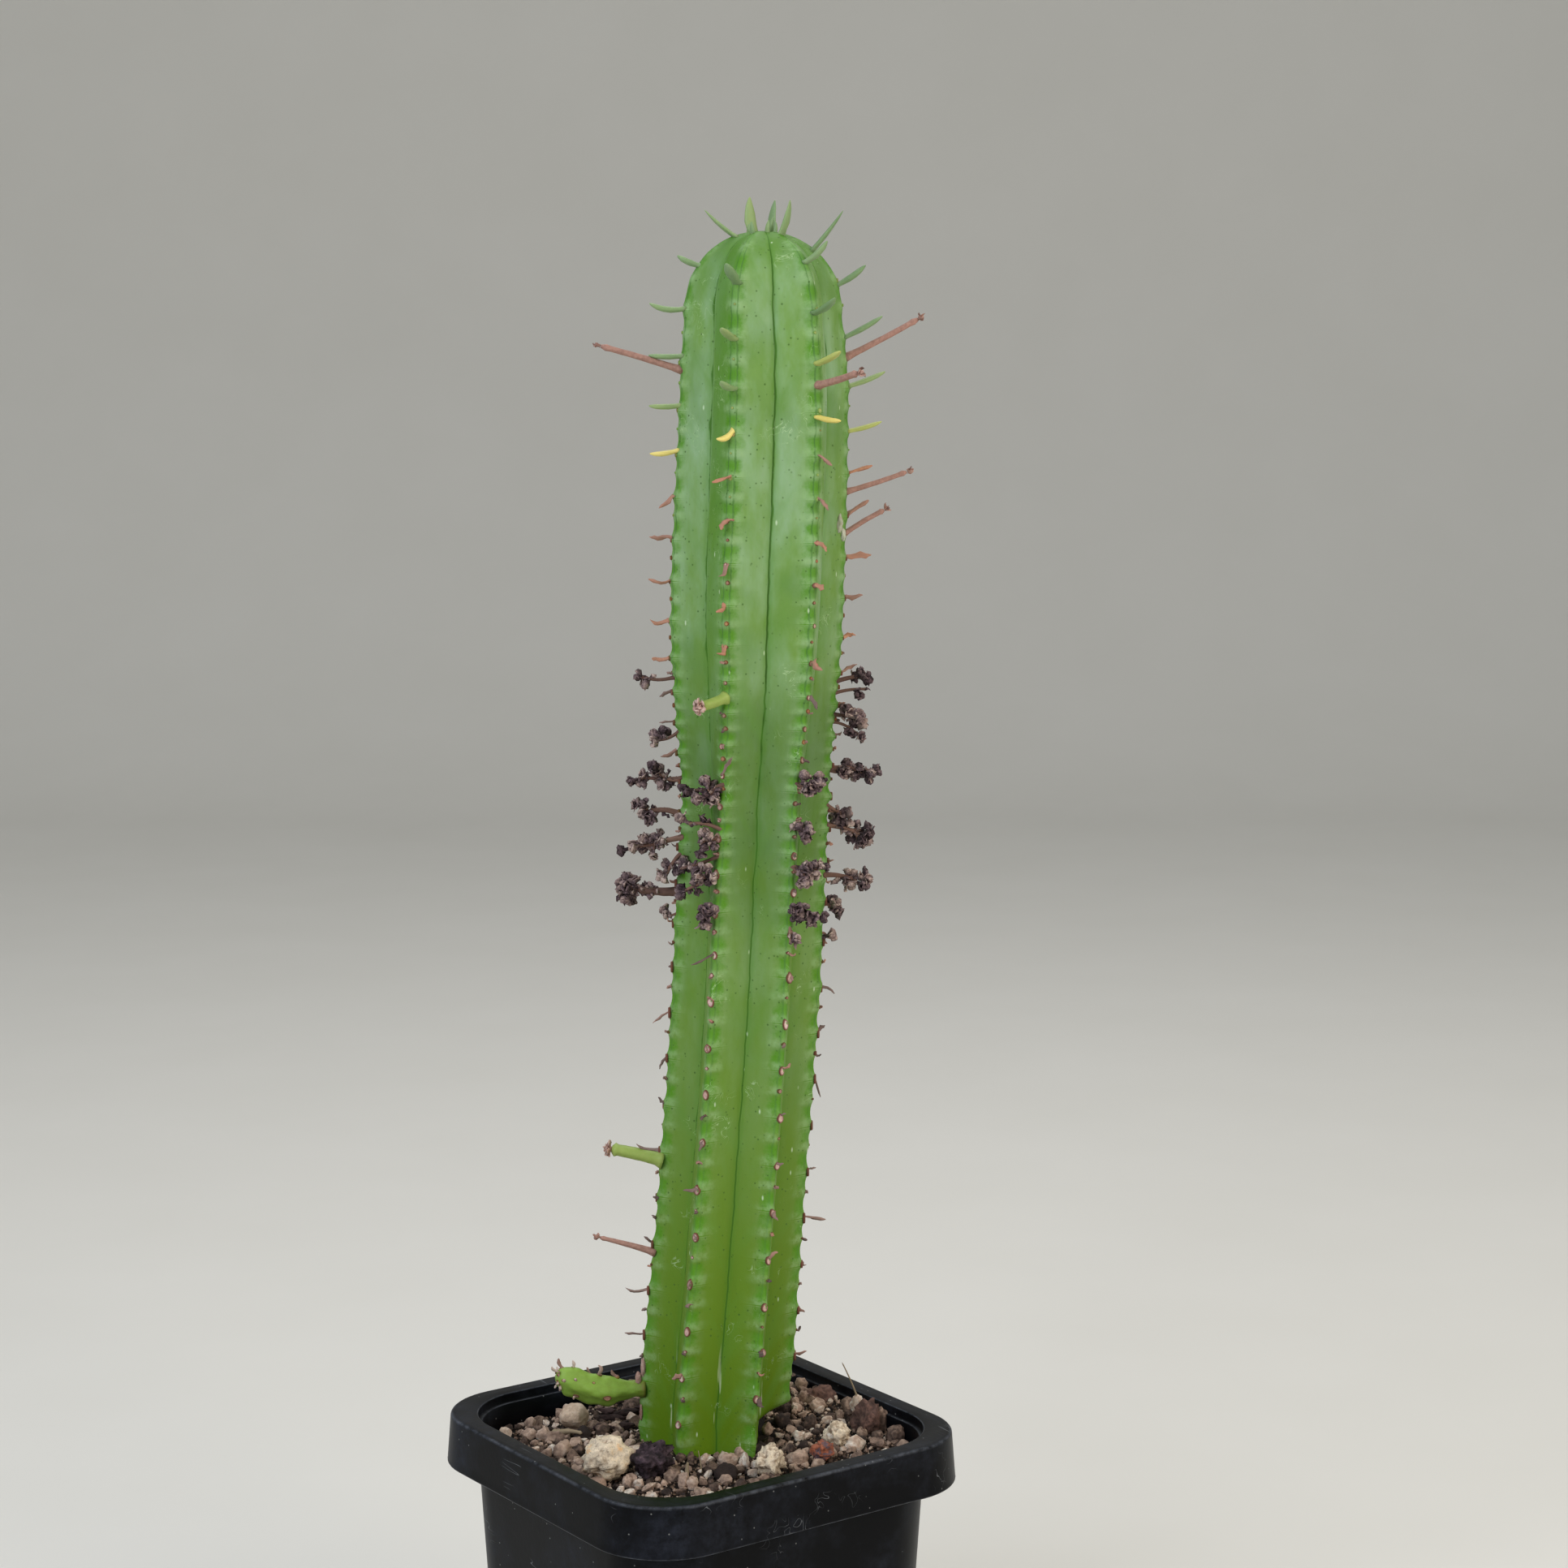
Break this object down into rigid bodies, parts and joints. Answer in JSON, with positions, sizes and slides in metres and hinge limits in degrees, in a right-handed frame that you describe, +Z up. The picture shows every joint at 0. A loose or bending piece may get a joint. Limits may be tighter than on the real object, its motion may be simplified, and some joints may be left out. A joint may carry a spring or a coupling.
{
  "type": "potted euphorbia",
  "caption": "Upright ribbed succulent with small leaves, flower stalks and dried flower clusters, standing in gritty mix in a square nursery pot.",
  "frame": {"origin": "middle of the pot's base, on the surface it stands on", "axes": "+Z up along the pot; the pot's sides lie along X and Y; the plant's front faces the corner between -X and -Y"},
  "size_m": [0.0712, 0.0712, 0.2742],
  "materials": {
    "pot_plastic": "moulded polypropylene, black, dusty and scuffed",
    "potting_mix": "gritty brown potting mix of pumice, lava and bark",
    "stem_skin": "waxy green succulent skin with pink leaf scars",
    "side_shoot_skin": "light green succulent skin",
    "leaf": "small fleshy green leaf",
    "green_stalk": "pale green flower stalk",
    "brown_stalk": "pink-brown drying flower stalk",
    "dried_flower": "dry dark purple-brown flower remains",
    "pumice": "rough cream pumice",
    "lava": "rough dark purple and red lava rock",
    "pebble": "smooth beige pebble",
    "brown_stone": "rough brown grit"
  },
  "bodies": {
    "root": {"basal_side_shoot": "side_shoot_skin", "dried_cluster_front_left_1": "dried_flower", "dried_cluster_front_left_2": "dried_flower", "dried_cluster_front_right_1": "dried_flower", "dried_cluster_front_right_2": "dried_flower", "dried_cluster_front_right_3": "dried_flower", "dried_cluster_left_1": "dried_flower", "dried_cluster_left_2": "dried_flower", "dried_cluster_left_3": "dried_flower", "dried_cluster_left_4": "dried_flower", "dried_cluster_right_1": "dried_flower", "dried_cluster_right_2": "dried_flower", "dried_cluster_right_3": "dried_flower", "dried_cluster_right_4": "dried_flower", "dried_cluster_right_5": "dried_flower", "leaf_back_left_1": "leaf", "leaf_back_left_2": "leaf", "leaf_back_left_3": "leaf", "leaf_back_right_1": "leaf", "leaf_back_right_2": "leaf", "leaf_back_right_3": "leaf", "leaf_crown_1": "leaf", "leaf_crown_2": "leaf", "leaf_crown_3": "leaf", "leaf_crown_4": "leaf", "leaf_crown_5": "leaf", "leaf_front_left_1": "leaf", "leaf_front_left_2": "leaf", "leaf_front_left_3": "leaf", "leaf_front_right_1": "leaf", "leaf_front_right_2": "leaf", "leaf_front_right_3": "leaf", "leaf_left_1": "leaf", "leaf_left_2": "leaf", "leaf_left_3": "leaf", "leaf_left_4": "leaf", "leaf_left_5": "leaf", "leaf_right_1": "leaf", "leaf_right_2": "leaf", "leaf_right_3": "leaf", "leaf_right_4": "leaf", "nursery_pot": "pot_plastic", "peduncle_front_right": "brown_stalk", "peduncle_front_stub": "green_stalk", "peduncle_left_dry": "brown_stalk", "peduncle_left_green": "green_stalk", "peduncle_left_top": "brown_stalk", "peduncle_right_lower": "brown_stalk", "peduncle_right_top": "brown_stalk", "peduncle_right_upper": "brown_stalk", "potting_mix": "potting_mix", "ribbed_stem": "stem_skin", "stone_big_pumice": "pumice", "stone_brown_grit": "brown_stone", "stone_oval_pebble": "pebble", "stone_purple_lava": "lava", "stone_red_lava": "lava", "stone_small_pumice": "pumice", "stone_tall_brown": "brown_stone", "stone_white_pumice": "pumice"}
  },
  "joints": []
}
